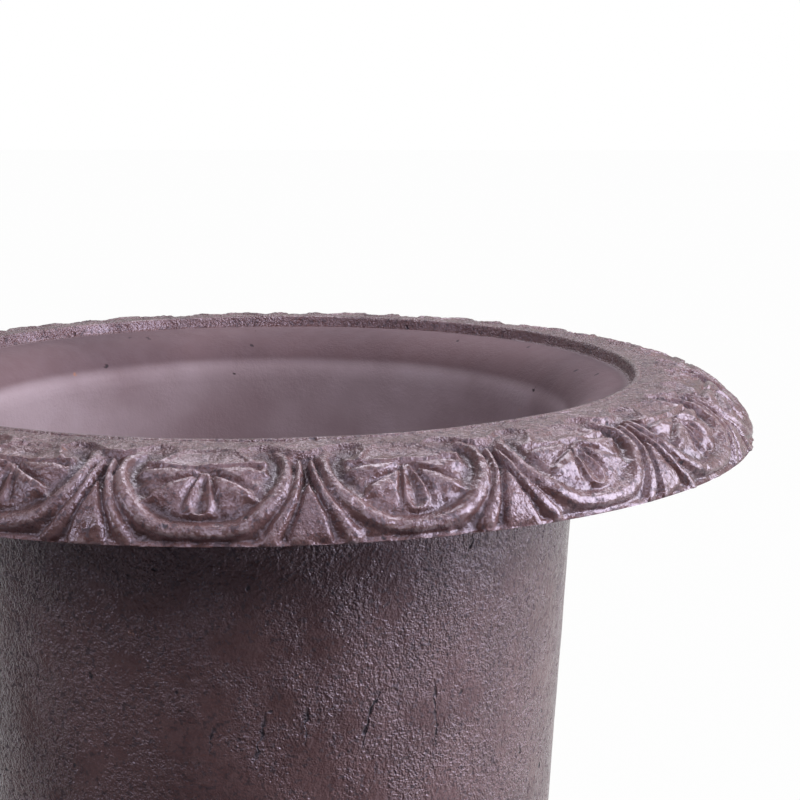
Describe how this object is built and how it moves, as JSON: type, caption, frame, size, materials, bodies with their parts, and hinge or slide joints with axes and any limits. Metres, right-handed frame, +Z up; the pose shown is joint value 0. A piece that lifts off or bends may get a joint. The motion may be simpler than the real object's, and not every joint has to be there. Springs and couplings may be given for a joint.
{
  "type": "garden urn",
  "caption": "Cast iron garden urn: tapered pot with a carved egg-and-dart rim, gadrooned cup, knop, round foot and square plinth, bolted together in sections, for outdoor planting.",
  "frame": {"origin": "on the ground, under the middle of the square plinth", "axes": "+Z up along the urn's axis; +X and +Y square to the plinth's sides; an egg of the rim's carving faces -Y"},
  "size_m": [0.37, 0.37, 0.43],
  "materials": {
    "brown_cast_iron": "sand-cast iron with a thin dark brown paint, satin, with glossy high points",
    "dark_steel": "darkened steel with a trace of rust",
    "gasket_rubber": "matt black sheet rubber"
  },
  "bodies": {
    "root": {"rim": "brown_cast_iron", "body": "brown_cast_iron", "cup": "brown_cast_iron", "knop": "brown_cast_iron", "foot": "brown_cast_iron", "plinth": "brown_cast_iron", "cup_gasket": "gasket_rubber", "rim_bolts": "dark_steel", "rim_washers": "dark_steel", "cup_bolts": "dark_steel", "cup_washers": "dark_steel", "cup_nuts": "dark_steel", "tie_rod": "dark_steel", "tie_rod_top_nut": "dark_steel", "tie_rod_top_washer": "dark_steel", "tie_rod_bottom_nut": "dark_steel", "tie_rod_bottom_washer": "dark_steel"}
  },
  "joints": []
}
